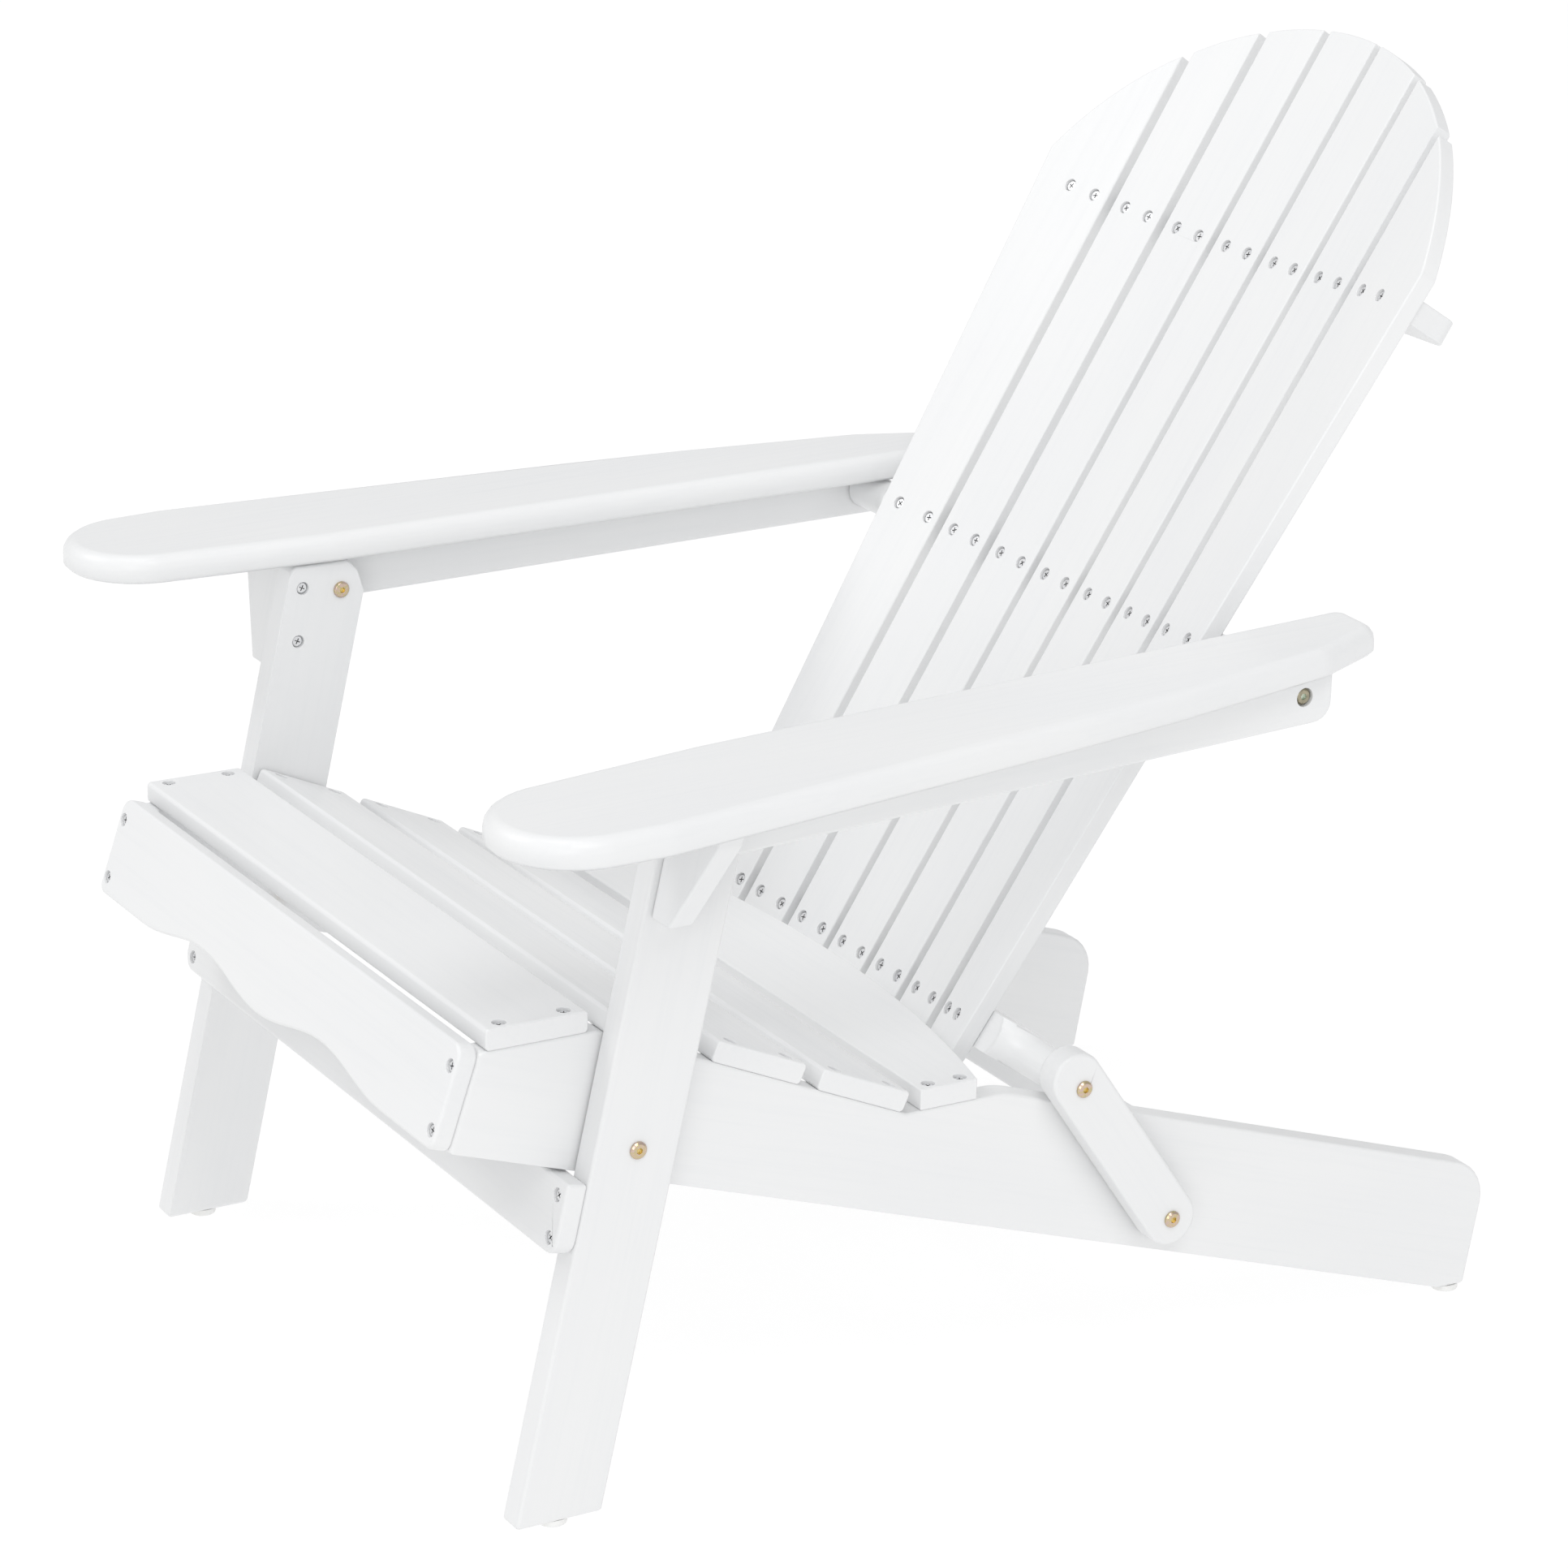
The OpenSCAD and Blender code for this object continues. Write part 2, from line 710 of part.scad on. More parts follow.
module slat_outline(k) {
    outer = abs(k) == slats_each_side;
    m = abs(k);
    shoulder_slope = (outer_shoulder[0] - outer_foot_x) / (outer_shoulder[1] - slat_foot);
    intersection() {
        mirror([k < 0 ? 1 : 0, 0]) polygon(outer
            ? [[slat_edges(m, slat_foot)[0], slat_foot], [outer_foot_x, slat_foot],
               [outer_foot_x + shoulder_slope * (slat_top - slat_foot), slat_top],
               [slat_edges(m, slat_top)[0], slat_top]]
            : [[slat_edges(m, slat_foot)[0], slat_foot], [slat_edges(m, slat_foot)[1], slat_foot],
               [slat_edges(m, slat_top)[1], slat_top], [slat_edges(m, slat_top)[0], slat_top]]);
        union() {
            translate([0, slat_top - top_arc_r]) circle(r = top_arc_r, $fn = 180);
            translate([-top_arc_r, slat_foot - 1])
                square([2 * top_arc_r, slat_top - top_arc_r - slat_foot + 1]);
        }
    }
}

// X of the two screws of slat k in a row
function screw_x(k, row) =
    let (m = abs(k), sign_k = k < 0 ? -1 : 1,
         pair = m == slats_each_side ? outer_screws(row) : [m * pitch(row), slat_screw_half_x])
    [sign_k * (pair[0] - pair[1]), sign_k * (pair[0] + pair[1])];

module at_back_screws(k, row) {
    for (x = screw_x(k, row)) slat_frame(k) translate([x, row, 0]) children();
}

module back_slat(k) {
    color(white) placed() difference() {
        slat_frame(k) translate([0, 0, -back_slat_t])
            linear_extrude(height = back_slat_t) slat_outline(k);
        for (row = [row_low, row_mid, row_top]) at_back_screws(k, row) screw_hole(back_screw_len);
    }
}
module back_slat_1() { back_slat(-3); }
module back_slat_2() { back_slat(-2); }
module back_slat_3() { back_slat(-1); }
module back_slat_4() { back_slat(0); }
module back_slat_5() { back_slat(1); }
module back_slat_6() { back_slat(2); }
module back_slat_7() { back_slat(3); }

module row_screws(row) {
    color(zinc) placed() for (k = [-slats_each_side:slats_each_side])
        at_back_screws(k, row) wood_screw(back_screw_len);
}
module upper_row_screws() { row_screws(row_top); }
module middle_row_screws() { row_screws(row_mid); }
module lower_row_screws() { row_screws(row_low); }

module row_holes(row) {
    for (k = [-slats_each_side:slats_each_side]) at_back_screws(k, row) screw_hole(back_screw_len);
}

// Plan of a bar: a facet behind each slat at height u, and a straight rear
function bar_front(u, half) = [for (k = [-slats_each_side:slats_each_side])
    let (a = k == -slats_each_side ? -half : (k - 0.5) * pitch(u),
         b = k == slats_each_side ? half : (k + 0.5) * pitch(u))
    each [[a, seat_depth(k, a)], [b, seat_depth(k, b)]]];

// Extrudes a plan drawn in X and the back frame's Z from u0 up the back
module up_the_back(u0, height) {
    back_frame() translate([0, u0 + height, 0]) rotate([90, 0, 0]) linear_extrude(height = height) children();
}

module upper_batten() {
    corner = 12;
    color(white) placed() difference() {
        up_the_back(batten_mid - batten_h / 2, batten_h) polygon(concat(
            bar_front(batten_mid, batten_half),
            arc([batten_half - corner, batten_rear + corner], corner, 0, -90),
            arc([-batten_half + corner, batten_rear + corner], corner, -90, -180)));
        row_holes(row_top);
    }
}

// Radius of a turned bar at a given X: round at the ends, with a hollow shoulder up to the square body
function turned_r(x, half) = x <= half ? body_r
    : x >= half + bar_taper ? bar_r
    : bar_r + (body_r - bar_r) * pow(1 - (x - half) / bar_taper, 2);

// A bar with a square body that carries the slats and turned ends that take the pivot bolts
module round_ended_bar(pivot, half, end, row) {
    u = up_back(pivot);
    turned = concat([for (i = [0:8]) let (x = half + bar_taper * i / 8) [turned_r(x, half), x]], [[bar_r, end]]);
    difference() {
        intersection() {
            up_the_back(u - bar_h / 2, bar_h)
                polygon(concat(bar_front(u, end + 1), [[end + 1, bar_rear], [-end - 1, bar_rear]]));
            translate([0, pivot[0], pivot[1]]) rotate([0, 90, 0]) rotate_extrude()
                polygon(concat([[0, -end]], [for (i = [len(turned) - 1:-1:0]) [turned[i][0], -turned[i][1]]],
                    turned, [[0, end]]));
        }
        row_holes(row);
        both_sides() cross_hole(end - bolt_grip - 2, pivot, bore_r, bolt_grip + 3);
    }
}

// Height of a pivot in the back frame
function up_back(point) =
    (point[0] - back_origin[0]) * sin(back_lean) + (point[1] - back_origin[1]) * cos(back_lean);

module middle_bar() {
    color(white) placed()
        round_ended_bar(back_pivot, middle_bar_half, middle_bar_end, row_mid);
}

module lower_bar() {
    color(white) placed()
        round_ended_bar(link_top, lower_bar_half, lower_bar_end, row_low);
}

// ---- links ----

module link(side) {
    span = norm(link_foot - link_top);
    angle = atan2(link_foot[1] - link_top[1], link_foot[0] - link_top[0]);
    color(white) placed() on_side(side) difference() {
        translate([link_inner, link_top[0], link_top[1]]) rotate([angle, 0, 0]) union() {
            for (y = [-link_extra, span])
                translate([0, y, 0]) rotate([0, 90, 0]) cylinder(r = link_half_w, h = link_t);
            translate([0, -link_extra, -link_half_w]) cube([link_t, span + link_extra, 2 * link_half_w]);
        }
        cross_hole(link_inner - 1, link_top, bore_r, link_t + 2);
        cross_hole(link_inner - 1, link_foot, bore_r, link_t + 2);
    }
}
module link_left() { link(1); }
module link_right() { link(-1); }

module link_top_bolts() {
    color(yellow_zinc) placed() both_sides()
        pivot_bolt(link_inner + link_t + fit, link_top, link_t + bolt_grip);
}

stringer_left();
stringer_right();
apron();
seat_slat_1();
seat_slat_2();
seat_slat_3();
seat_slat_4();
seat_slat_5();
rear_stretcher();
rear_glides();
seat_slat_screws();
apron_screws();
stretcher_screws();
leg_pivot_bolts();
leg_pivot_nuts();
link_foot_bolts();
link_foot_nuts();
pivot_washers();
leg_left();
leg_right();
leg_crossbar();
bracket_left();
bracket_right();
front_glides();
crossbar_screws();
bracket_screws();
arm_pivot_bolts();
arm_pivot_spacers();
arm_left();
arm_right();
arm_rail_left();
arm_rail_right();
arm_screws();
back_pivot_bolts();
back_slat_1();
back_slat_2();
back_slat_3();
back_slat_4();
back_slat_5();
back_slat_6();
back_slat_7();
upper_batten();
middle_bar();
lower_bar();
upper_row_screws();
middle_row_screws();
lower_row_screws();
link_left();
link_right();
link_top_bolts();
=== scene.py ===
import json
import math
import random

import bmesh
import bpy
from mathutils import Matrix, Vector


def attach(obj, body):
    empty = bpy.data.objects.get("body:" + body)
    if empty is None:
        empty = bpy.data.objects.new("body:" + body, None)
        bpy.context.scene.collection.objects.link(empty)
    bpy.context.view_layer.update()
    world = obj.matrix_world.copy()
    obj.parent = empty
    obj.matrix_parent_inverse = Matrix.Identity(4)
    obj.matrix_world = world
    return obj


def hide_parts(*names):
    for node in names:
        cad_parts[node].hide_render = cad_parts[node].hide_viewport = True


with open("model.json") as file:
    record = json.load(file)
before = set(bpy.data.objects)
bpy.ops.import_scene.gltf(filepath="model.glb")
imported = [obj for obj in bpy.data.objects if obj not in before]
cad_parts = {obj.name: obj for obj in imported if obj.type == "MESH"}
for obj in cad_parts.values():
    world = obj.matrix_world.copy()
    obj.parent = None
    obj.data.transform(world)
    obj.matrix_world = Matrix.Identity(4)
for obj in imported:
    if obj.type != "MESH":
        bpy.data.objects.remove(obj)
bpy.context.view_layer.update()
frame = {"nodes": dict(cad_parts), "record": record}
BODIES = frame["record"]["behaviour"]["bodies"]
MM = 0.001

# ---- materials ----


def new_material(name):
    """An empty node material: its nodes, its links and its main shader."""
    material = bpy.data.materials.new(name)
    material.use_nodes = True
    nodes = material.node_tree.nodes
    return material, nodes, material.node_tree.links, nodes["Principled BSDF"]


def stretched_coordinates(nodes, links, turn, scale):
    """Object coordinates turned so that X runs along the board, then scaled."""
    place = nodes.new("ShaderNodeTexCoord")
    turned = nodes.new("ShaderNodeMapping")
    turned.vector_type = "POINT"
    turned.inputs["Rotation"].default_value = turn
    stretched = nodes.new("ShaderNodeMapping")
    stretched.inputs["Scale"].default_value = scale
    links.new(place.outputs["Object"], turned.inputs["Vector"])
    links.new(turned.outputs["Vector"], stretched.inputs["Vector"])
    return stretched.outputs["Vector"]


def even_coordinates(nodes, links, scale):
    """Object coordinates scaled the same in every direction."""
    return stretched_coordinates(nodes, links, (0, 0, 0), (scale, scale, scale))


def noise_texture(nodes, links, vector, detail, roughness=0.5, distortion=0.0):
    texture = nodes.new("ShaderNodeTexNoise")
    texture.inputs["Scale"].default_value = 1.0
    texture.inputs["Detail"].default_value = detail
    texture.inputs["Roughness"].default_value = roughness
    texture.inputs["Distortion"].default_value = distortion
    links.new(vector, texture.inputs["Vector"])
    return texture.outputs["Fac"]


def colour_ramp(nodes, links, factor, stops):
    """A ramp with (position, colour) stops."""
    ramp = nodes.new("ShaderNodeValToRGB")
    elements = ramp.color_ramp.elements
    while len(elements) < len(stops):
        elements.new(0.5)
    for element, (position, colour) in zip(elements, stops):
        element.position = position
        element.color = (*colour, 1.0)
    links.new(factor, ramp.inputs["Fac"])
    return ramp.outputs["Color"]


def mapped(nodes, links, factor, low, high, start=0.3, stop=0.7):
    """factor's stretch from start to stop, spread over low to high."""
    spread = nodes.new("ShaderNodeMapRange")
    spread.inputs["From Min"].default_value = start
    spread.inputs["From Max"].default_value = stop
    spread.inputs["To Min"].default_value = low
    spread.inputs["To Max"].default_value = high
    links.new(factor, spread.inputs["Value"])
    return spread.outputs["Result"]


def bumped(nodes, links, height, distance, strength=1.0, under=None):
    bump = nodes.new("ShaderNodeBump")
    bump.inputs["Distance"].default_value = distance
    bump.inputs["Strength"].default_value = strength
    links.new(height, bump.inputs["Height"])
    if under is not None:
        links.new(under, bump.inputs["Normal"])
    return bump.outputs["Normal"]


# The white paint's two slightly different tints, and how much the grain darkens it
PAINT_COOL = (0.788, 0.794, 0.800)
PAINT_WARM = (0.806, 0.810, 0.811)
GRAIN_SHADE = (0.985, 0.987, 0.989)


def painted_wood(name, turn):
    """Satin white paint, with the grain faintly showing through along the board."""
    material, nodes, links, shader = new_material(name)
    cloud = noise_texture(nodes, links, stretched_coordinates(nodes, links, turn, (5, 14, 14)), 2)
    streaks = stretched_coordinates(nodes, links, turn, (7, 260, 260))
    grain = noise_texture(nodes, links, streaks, 4, 0.55, 0.5)
    fibres = stretched_coordinates(nodes, links, turn, (45, 1300, 1300))
    fibre = noise_texture(nodes, links, fibres, 3, 0.6)
    peel = noise_texture(nodes, links, stretched_coordinates(nodes, links, turn, (420, 520, 520)), 2)
    tint = colour_ramp(nodes, links, cloud, [(0.3, PAINT_COOL), (0.7, PAINT_WARM)])
    streak = colour_ramp(nodes, links, grain, [(0.30, GRAIN_SHADE), (0.52, (1.0, 1.0, 1.0))])
    mix = nodes.new("ShaderNodeMix")
    mix.data_type = "RGBA"
    mix.blend_type = "MULTIPLY"
    mix.inputs["Factor"].default_value = 1.0
    links.new(tint, mix.inputs["A"])
    links.new(streak, mix.inputs["B"])
    links.new(mix.outputs["Result"], shader.inputs["Base Color"])
    links.new(mapped(nodes, links, grain, 0.40, 0.30), shader.inputs["Roughness"])
    first = bumped(nodes, links, grain, 0.00010, 0.28)
    second = bumped(nodes, links, fibre, 0.00003, 0.3, first)
    links.new(bumped(nodes, links, peel, 0.00004, 0.3, second), shader.inputs["Normal"])
    shader.inputs["Specular IOR Level"].default_value = 0.4
    return material


def plated_steel(name, stops, roughness, scale, metallic=1.0):
    """Plated steel whose tint and gloss drift over a few millimetres."""
    material, nodes, links, shader = new_material(name)
    drift = noise_texture(nodes, links, even_coordinates(nodes, links, scale), 3, 0.55, 0.6)
    fine = noise_texture(nodes, links, even_coordinates(nodes, links, 2500), 2)
    links.new(colour_ramp(nodes, links, drift, stops), shader.inputs["Base Color"])
    links.new(mapped(nodes, links, fine, roughness - 0.06, roughness + 0.08), shader.inputs["Roughness"])
    links.new(bumped(nodes, links, fine, 0.00003, 0.3), shader.inputs["Normal"])
    shader.inputs["Metallic"].default_value = metallic
    return material


def moulded_nylon(name):
    material, nodes, links, shader = new_material(name)
    fine = noise_texture(nodes, links, even_coordinates(nodes, links, 900), 3)
    cloud = noise_texture(nodes, links, even_coordinates(nodes, links, 90), 2)
    stops = [(0.35, (0.80, 0.80, 0.785)), (0.65, (0.85, 0.85, 0.84))]
    links.new(colour_ramp(nodes, links, cloud, stops), shader.inputs["Base Color"])
    links.new(mapped(nodes, links, fine, 0.28, 0.42), shader.inputs["Roughness"])
    links.new(bumped(nodes, links, fine, 0.00004, 0.3), shader.inputs["Normal"])
    shader.inputs["Subsurface Weight"].default_value = 0.1
    shader.inputs["Subsurface Radius"].default_value = (0.002, 0.002, 0.002)
    return material


ZINC = plated_steel(
    "bright_zinc", [(0.3, (0.70, 0.71, 0.73)), (0.7, (0.86, 0.86, 0.86))], 0.36, 300, 0.72)
# Darker zinc for the faces down in the screws' crosses: painted shade in the recesses
SCREW_CROSS_SHADE_ZINC = plated_steel(
    "painted_shade_zinc", [(0.3, (0.24, 0.24, 0.25)), (0.7, (0.38, 0.38, 0.38))], 0.5, 300)
YELLOW_ZINC = plated_steel(
    "yellow_zinc",
    [(0.25, (0.40, 0.42, 0.34)),
     (0.42, (0.60, 0.50, 0.28)),
     (0.58, (0.63, 0.48, 0.43)),
     (0.75, (0.56, 0.49, 0.35))],
    0.27, 330)
DEEP_YELLOW_ZINC = plated_steel(
    "deep_yellow_zinc", [(0.3, (0.50, 0.36, 0.08)), (0.7, (0.85, 0.68, 0.30))], 0.3, 1200)
OLIVE_ZINC = plated_steel(
    "olive_zinc", [(0.3, (0.26, 0.24, 0.18)), (0.7, (0.44, 0.40, 0.29))], 0.3, 330)
DEEP_OLIVE_ZINC = plated_steel(
    "deep_olive_zinc", [(0.3, (0.30, 0.36, 0.28)), (0.7, (0.80, 0.86, 0.74))], 0.3, 1200)
NYLON = moulded_nylon("white_nylon")

# Which way the grain runs in each board, as (X, Y, Z)
ACROSS = (1, 0, 0)
STRINGER_SLOPE = math.radians(18.2)
LEG_LEAN = math.atan(0.2149)
BACK_LEAN = math.radians(32.56)
LINK_RISE = math.atan2(111.3, -77.6)
ARM_RISE = math.radians(1.4)
DOWN_THE_STRINGER = (0, math.cos(STRINGER_SLOPE), -math.sin(STRINGER_SLOPE))
UP_THE_LEG = (0, math.sin(LEG_LEAN), math.cos(LEG_LEAN))
UP_THE_BACK = (0, math.sin(BACK_LEAN), math.cos(BACK_LEAN))
UP_THE_LINK = (0, math.cos(LINK_RISE), math.sin(LINK_RISE))
ALONG_THE_ARM = (0, math.cos(ARM_RISE), math.sin(ARM_RISE))

# Each board's grain and the radius of its softened edges, in mm
BOARDS = {
    "stringer": (DOWN_THE_STRINGER, 2.5),
    "apron": (ACROSS, 2.5),
    "seat_slat": (ACROSS, 1.2),
    "rear_stretcher": (ACROSS, 1.5),
    "leg_crossbar": (ACROSS, 2.5),
    "leg": (UP_THE_LEG, 2.5),
    "bracket": (UP_THE_LEG, 2.0),
    "arm_rail": (ALONG_THE_ARM, 2.5),
    "arm": (ALONG_THE_ARM, 0.0),
    "back_slat": (UP_THE_BACK, 1.3),
    "upper_batten": (ACROSS, 1.0),
    "middle_bar": (ACROSS, 0.0),
    "lower_bar": (ACROSS, 0.0),
    "link": (UP_THE_LINK, 2.5),
}


def board_kind(name):
    """The longest key of BOARDS that starts a node's name."""
    return max((kind for kind in BOARDS if name.startswith(kind)), key=len)


# ---- stage ----

FLOOR_SIZE = 60
FLOOR_DROP = 0.0002
FLOOR_TONE = 0.16
FLOOR_GLOW = 0.88
SKY_COLOUR = (0.995, 0.996, 1.0)
SKY_STRENGTH = 0.62
CHAIR_MIDDLE = Vector((0, -0.05, 0.42))
LIGHT_SIZE = 3.5
# Each light's place in metres and power in watts
LIGHTS = {
    "key": ((-4.2, -6.5, 7.4), 188),
    "top": ((0.4, -1.9, 9.2), 125),
    "right_high": ((5.3, -1.3, 7.4), 150),
    "front_fill": ((6.2, -5.2, 2.8), 92),
    "side_fill": ((8.8, 0.5, 2.1), 42),
}
CAMERA_PLACE = (2.88307, -1.73428, 1.52867)
CAMERA_TURN = (70.931, -1.223, 59.847)
CAMERA_LENS = 115.48
SENSOR_WIDTH = 36.0


def build_floor():
    bpy.ops.mesh.primitive_plane_add(size=FLOOR_SIZE, location=(0, 0, -FLOOR_DROP))
    floor = bpy.context.object
    floor.name = "floor"
    material, nodes, links, shader = new_material("pale_floor")
    shader.inputs["Base Color"].default_value = (FLOOR_TONE, FLOOR_TONE, FLOOR_TONE, 1)
    shader.inputs["Roughness"].default_value = 1.0
    shader.inputs["Specular IOR Level"].default_value = 0.0
    shader.inputs["Emission Color"].default_value = (1, 1, 1, 1)
    shader.inputs["Emission Strength"].default_value = FLOOR_GLOW
    floor.data.materials.append(material)


def build_world():
    world = bpy.data.worlds.new("studio")
    world.use_nodes = True
    background = world.node_tree.nodes["Background"]
    background.inputs["Color"].default_value = (*SKY_COLOUR, 1)
    background.inputs["Strength"].default_value = SKY_STRENGTH
    bpy.context.scene.world = world


def area_light(name, place, power):
    """A square soft light aimed at the middle of the chair."""
    data = bpy.data.lights.new(name, "AREA")
    data.size = LIGHT_SIZE
    data.energy = power
    light = bpy.data.objects.new(name, data)
    light.location = place
    light.rotation_euler = (CHAIR_MIDDLE - Vector(place)).to_track_quat("-Z", "Y").to_euler()
    bpy.context.scene.collection.objects.link(light)


def build_camera():
    data = bpy.data.cameras.new("camera")
    data.lens = CAMERA_LENS
    data.sensor_width = SENSOR_WIDTH
    camera = bpy.data.objects.new("camera", data)
    camera.location = CAMERA_PLACE
    camera.rotation_euler = [math.radians(angle) for angle in CAMERA_TURN]
    bpy.context.scene.collection.objects.link(camera)
    bpy.context.scene.camera = camera


# ---- boards and fasteners ----

# Neighbouring faces closer in angle than FLAT are joined, and edges sharper than SHARP are softened.
# Edges sharper than CREASE after that stay sharp in the shading.
FLAT = math.radians(0.4)
SHARP = math.radians(40)
CREASE = math.radians(50)
# A hole lies within HOLE_REACH of a fastener's axis and HOLE_LENGTH of its middle.
HOLE_REACH = 7.2 * MM
HOLE_LENGTH = 45 * MM
RIM_RADIUS = 0.35 * MM
FASTENER_RADIUS = 0.18 * MM
# The depths, below a head's top, between which its cross or socket lies, and its reach from the axis
DRIVE_DEPTHS = (0.3 * MM, 1.8 * MM)
DRIVE_REACH = 2.4 * MM
GLIDE_RADIUS = 0.6 * MM
NUT_RADIUS = 0.4 * MM
TURNS = random.Random(7)


def welded(name):
    """A node's mesh with its seams closed and its flat faces whole."""
    mesh = bmesh.new()
    mesh.from_mesh(frame["nodes"][name].data)
    bmesh.ops.remove_doubles(mesh, verts=mesh.verts, dist=0.01 * MM)
    bmesh.ops.dissolve_degenerate(mesh, dist=0.01 * MM, edges=mesh.edges)
    bmesh.ops.dissolve_limit(mesh, angle_limit=FLAT, verts=mesh.verts, edges=mesh.edges)
    return mesh


def islands(mesh):
    """The vertices of each loose piece."""
    left = set(mesh.verts)
    pieces = []
    while left:
        piece = {left.pop()}
        front = list(piece)
        while front:
            vert = front.pop()
            for edge in vert.link_edges:
                other = edge.other_vert(vert)
                if other in left:
                    left.remove(other)
                    piece.add(other)
                    front.append(other)
        pieces.append(sorted(piece, key=lambda v: v.index))
    return sorted(pieces, key=lambda p: p[0].index)


def shank_axis(verts):
    """A fastener's middle and its direction towards the head, from the spread of its vertices."""
    points = [v.co.copy() for v in verts]
    middle = sum(points, Vector()) / len(points)
    far = max(points, key=lambda p: (p - middle).length)
    axis = (far - middle).normalized()
    for _ in range(30):
        axis = sum(((p - middle) * (p - middle).dot(axis) for p in points), Vector()).normalized()
    along = [(p - middle).dot(axis) for p in points]
    ends = (min(along), max(along))
    spread = []
    for end in ends:
        close = [p for p, a in zip(points, along) if abs(a - end) < 3 * MM]
        spread.append(max(((p - middle) - axis * (p - middle).dot(axis)).length for p in close))
    if spread[0] > spread[1]:
        axis = -axis
    return middle, axis


def fastener_axes():
    """Every screw's and bolt's axis, for finding the rims of the holes."""
    axes = []
    for name in frame["nodes"]:
        if "screws" in name or "bolts" in name:
            mesh = welded(name)
            axes += [shank_axis(piece) for piece in islands(mesh)]
            mesh.free()
    return axes


def near_an_axis(point, axes):
    for middle, axis in axes:
        offset = point - middle
        along = offset.dot(axis)
        if (offset - axis * along).length < HOLE_REACH and abs(along) < HOLE_LENGTH:
            return True
    return False


def at_a_hole(edge, axes):
    return near_an_axis(edge.verts[0].co, axes) and near_an_axis(edge.verts[1].co, axes)


def sharp_edges(mesh):
    return [e for e in mesh.edges if len(e.link_faces) == 2 and e.calc_face_angle(0) > SHARP]


def rounded(mesh, edges, radius, steps, clamped=False):
    if edges:
        bmesh.ops.bevel(
            mesh, geom=edges, offset=radius, offset_type="OFFSET", segments=steps, profile=0.5,
            affect="EDGES", clamp_overlap=clamped, loop_slide=True)


def finished(mesh, name, body, materials):
    """Turns a bmesh into a smooth-shaded piece that rides a body and stands for its CAD node."""
    bmesh.ops.dissolve_degenerate(mesh, dist=0.005 * MM, edges=mesh.edges)
    for face in mesh.faces:
        face.smooth = True
    for edge in mesh.edges:
        edge.smooth = len(edge.link_faces) != 2 or edge.calc_face_angle(0) < CREASE
    data = bpy.data.meshes.new("soft_" + name)
    mesh.to_mesh(data)
    mesh.free()
    for material in materials:
        data.materials.append(material)
    piece = bpy.data.objects.new("soft_" + name, data)
    bpy.context.scene.collection.objects.link(piece)
    weighted = piece.modifiers.new("even_shading", "WEIGHTED_NORMAL")
    weighted.keep_sharp = True
    weighted.weight = 90
    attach(piece, body)
    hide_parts(name)


def board(name, body, axes):
    """A board with softened edges and lightly broken hole rims."""
    grain, radius = BOARDS[board_kind(name)]
    mesh = welded(name)
    local = [a for a in axes if crosses(mesh, a)]
    rims = [e for e in sharp_edges(mesh) if at_a_hole(e, local)]
    rounded(mesh, rims, RIM_RADIUS, 2)
    if radius:
        outer = [e for e in sharp_edges(mesh) if not at_a_hole(e, local)]
        rounded(mesh, outer, radius * MM, 4)
    finished(mesh, name, body, [PAINTS[grain]])


def crosses(mesh, axis):
    """Whether a fastener's middle lies near a board's box."""
    low = Vector([min(v.co[i] for v in mesh.verts) - HOLE_LENGTH for i in range(3)])
    high = Vector([max(v.co[i] for v in mesh.verts) + HOLE_LENGTH for i in range(3)])
    return all(low[i] <= axis[0][i] <= high[i] for i in range(3))


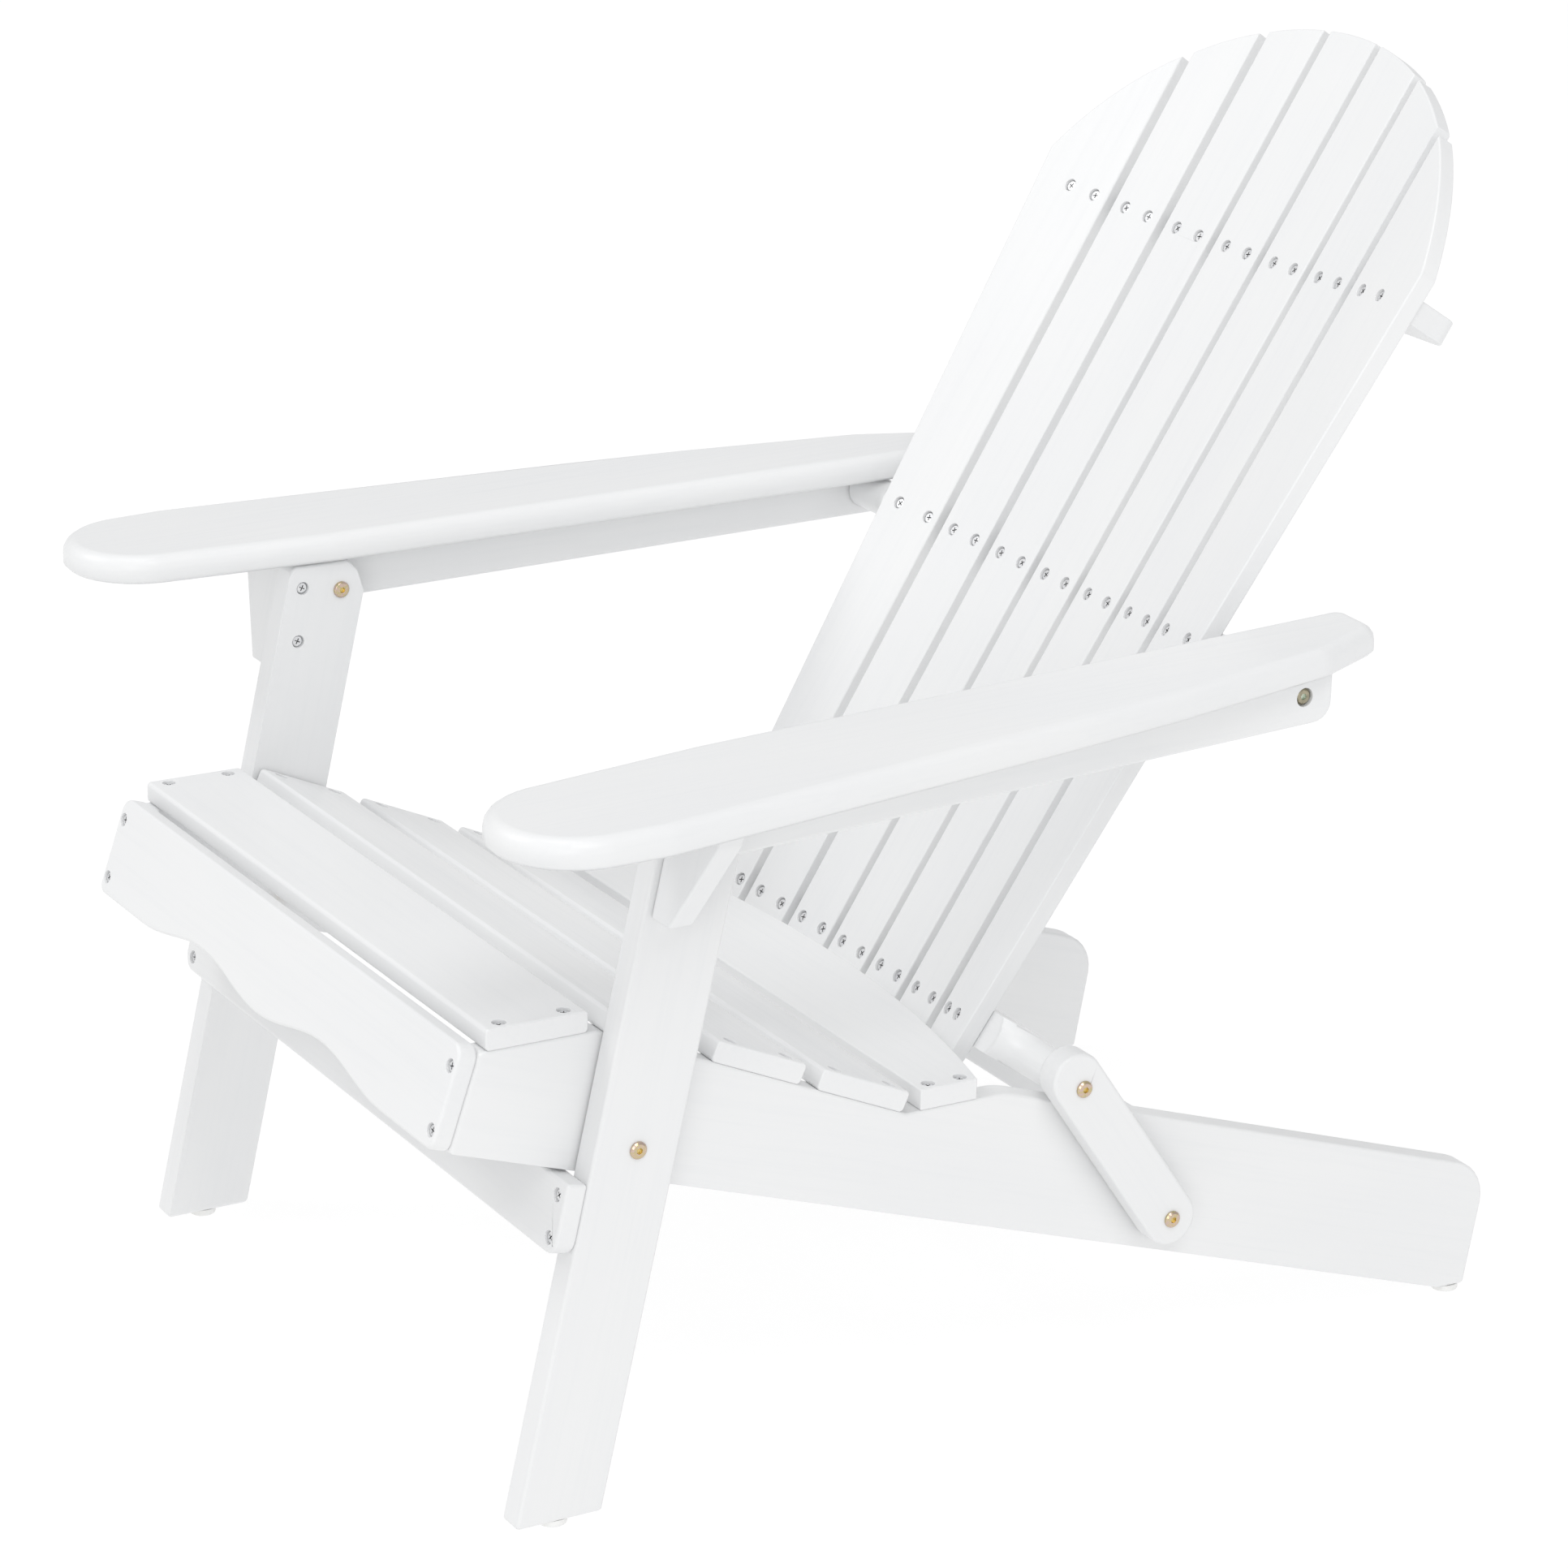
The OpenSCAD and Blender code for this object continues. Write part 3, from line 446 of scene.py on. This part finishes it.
def in_the_drive(point, tops):
    """Whether a point lies down in the cross or socket of one of the heads."""
    for top, axis in tops:
        offset = point - top
        depth = -offset.dot(axis)
        if DRIVE_DEPTHS[0] < depth < DRIVE_DEPTHS[1] and (offset + axis * depth).length < DRIVE_REACH:
            return True
    return False


def fasteners(name, body, material, drive_material):
    """Screws or bolts with broken edges, each turned its own way about its shank."""
    mesh = welded(name)
    tops = []
    for piece in islands(mesh):
        middle, axis = shank_axis(piece)
        tops.append((middle + axis * max((v.co - middle).dot(axis) for v in piece), axis))
        turn = Matrix.Rotation(TURNS.uniform(0, math.tau), 4, axis)
        spin = Matrix.Translation(middle) @ turn @ Matrix.Translation(-middle)
        bmesh.ops.transform(mesh, matrix=spin, verts=piece)
    rounded(mesh, sharp_edges(mesh), FASTENER_RADIUS, 2, clamped=True)
    # Faces down in a cross or socket take the second material; on the screws that material is painted
    # shade, darker zinc in the crosses
    for face in mesh.faces:
        if in_the_drive(face.calc_center_median(), tops):
            face.material_index = 1
    finished(mesh, name, body, [material, drive_material])


def small_hardware(name, body, material, radius):
    """Nuts, washers and glides: their own shapes with rounded edges."""
    mesh = welded(name)
    rounded(mesh, sharp_edges(mesh), radius, 3)
    finished(mesh, name, body, [material])


PAINTS = {
    grain: painted_wood("paint_%d" % i, Vector(grain).rotation_difference(Vector((1, 0, 0))).to_euler())
    for i, grain in enumerate(sorted({grain for grain, _ in BOARDS.values()}))
}

AXES = fastener_axes()
for body, members in BODIES.items():
    for member in members:
        if "glides" in member:
            small_hardware(member, body, NYLON, GLIDE_RADIUS)
        elif "washers" in member or "spacers" in member:
            small_hardware(member, body, ZINC, NUT_RADIUS)
        elif "nuts" in member:
            small_hardware(member, body, YELLOW_ZINC, NUT_RADIUS)
        elif "screws" in member:
            fasteners(member, body, ZINC, SCREW_CROSS_SHADE_ZINC)
        elif member == "back_pivot_bolts":
            fasteners(member, body, OLIVE_ZINC, DEEP_OLIVE_ZINC)
        elif "bolts" in member:
            fasteners(member, body, YELLOW_ZINC, DEEP_YELLOW_ZINC)
        else:
            board(member, body, AXES)

build_world()
build_floor()
for name, (place, power) in LIGHTS.items():
    area_light(name, place, power)
build_camera()
bpy.context.scene.view_settings.view_transform = "Standard"
